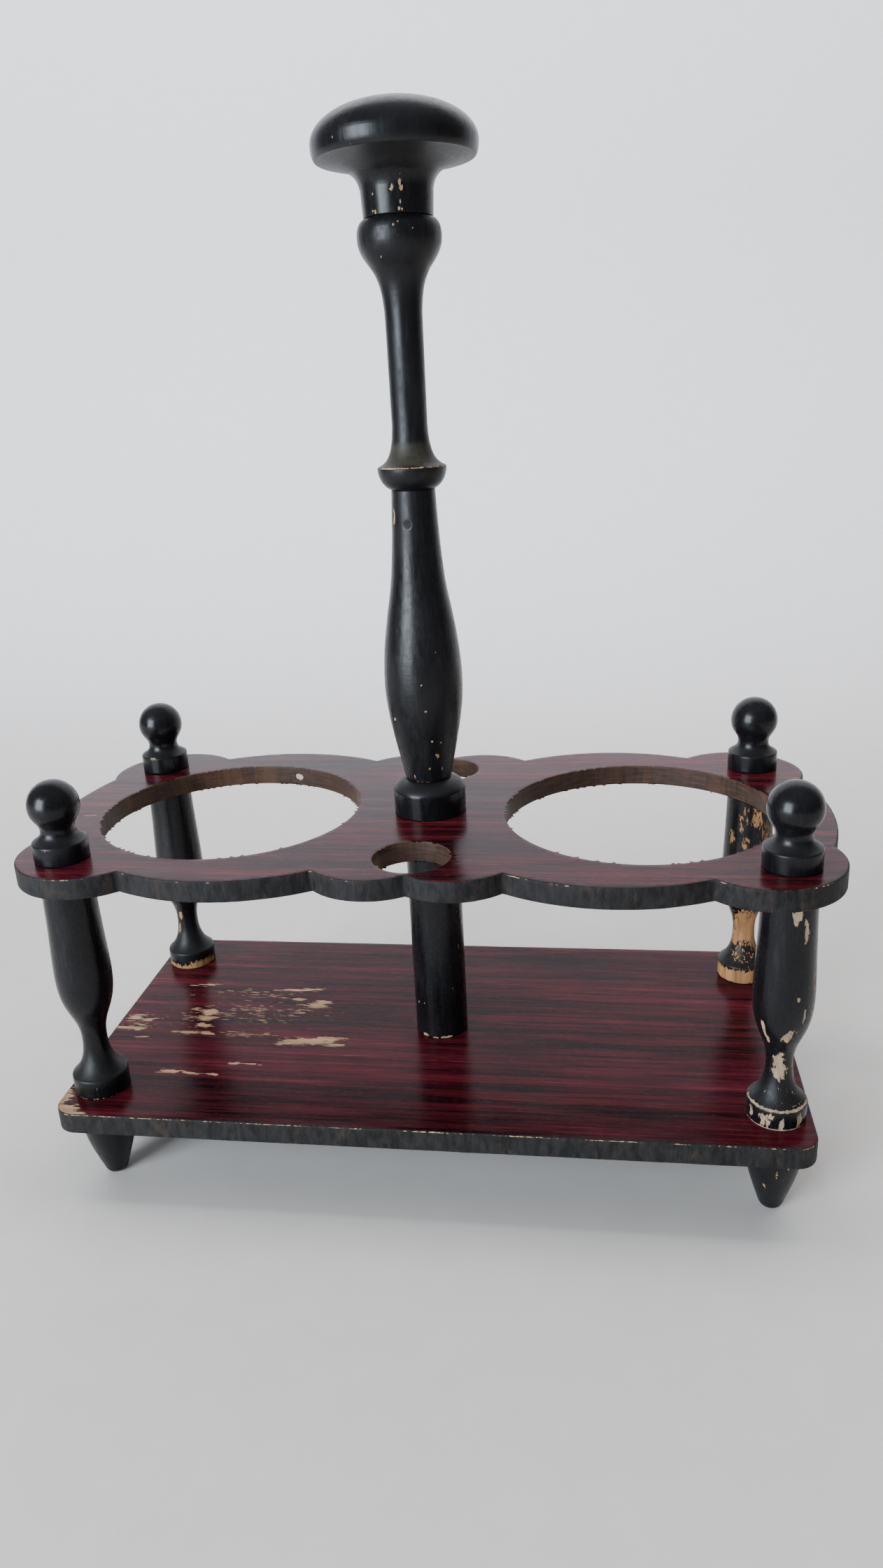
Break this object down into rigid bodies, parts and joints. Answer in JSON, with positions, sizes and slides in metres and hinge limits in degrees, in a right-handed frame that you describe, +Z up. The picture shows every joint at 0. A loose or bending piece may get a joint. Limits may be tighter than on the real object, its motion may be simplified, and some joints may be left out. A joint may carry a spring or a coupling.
{
  "type": "bottle carrier",
  "caption": "Turned-wood table carrier for bottles and cruets: flat base on peg feet, scalloped top board with round holes, corner posts and a tall centre handle.",
  "frame": {"origin": "centre of the footprint, on the plane of the tips of the feet", "axes": "+Z up along the handle, +X to the right along the long side of the boards, +Y to the back"},
  "size_m": [0.3, 0.14, 0.3758],
  "materials": {
    "red_lacquered_wood": "gloss red-brown lacquer over streaked wood, worn",
    "black_painted_wood": "satin black paint over turned wood, chipped",
    "raw_dowel": "raw",
    "steel": "dull"
  },
  "bodies": {
    "root": {"base_board": "red_lacquered_wood", "top_board": "red_lacquered_wood", "column": "black_painted_wood", "collar": "black_painted_wood", "grip": "black_painted_wood", "shaft": "black_painted_wood", "knob": "black_painted_wood", "post_front_left": "black_painted_wood", "post_front_right": "black_painted_wood", "post_back_left": "black_painted_wood", "post_back_right": "black_painted_wood", "finial_front_left": "black_painted_wood", "finial_front_right": "black_painted_wood", "finial_back_left": "black_painted_wood", "finial_back_right": "black_painted_wood", "foot_front_left": "black_painted_wood", "foot_front_right": "black_painted_wood", "foot_back_left": "black_painted_wood", "foot_back_right": "black_painted_wood", "column_screw": "steel", "handle_dowel": "raw_dowel", "knob_dowel": "raw_dowel", "shaft_brad": "steel"}
  },
  "joints": []
}
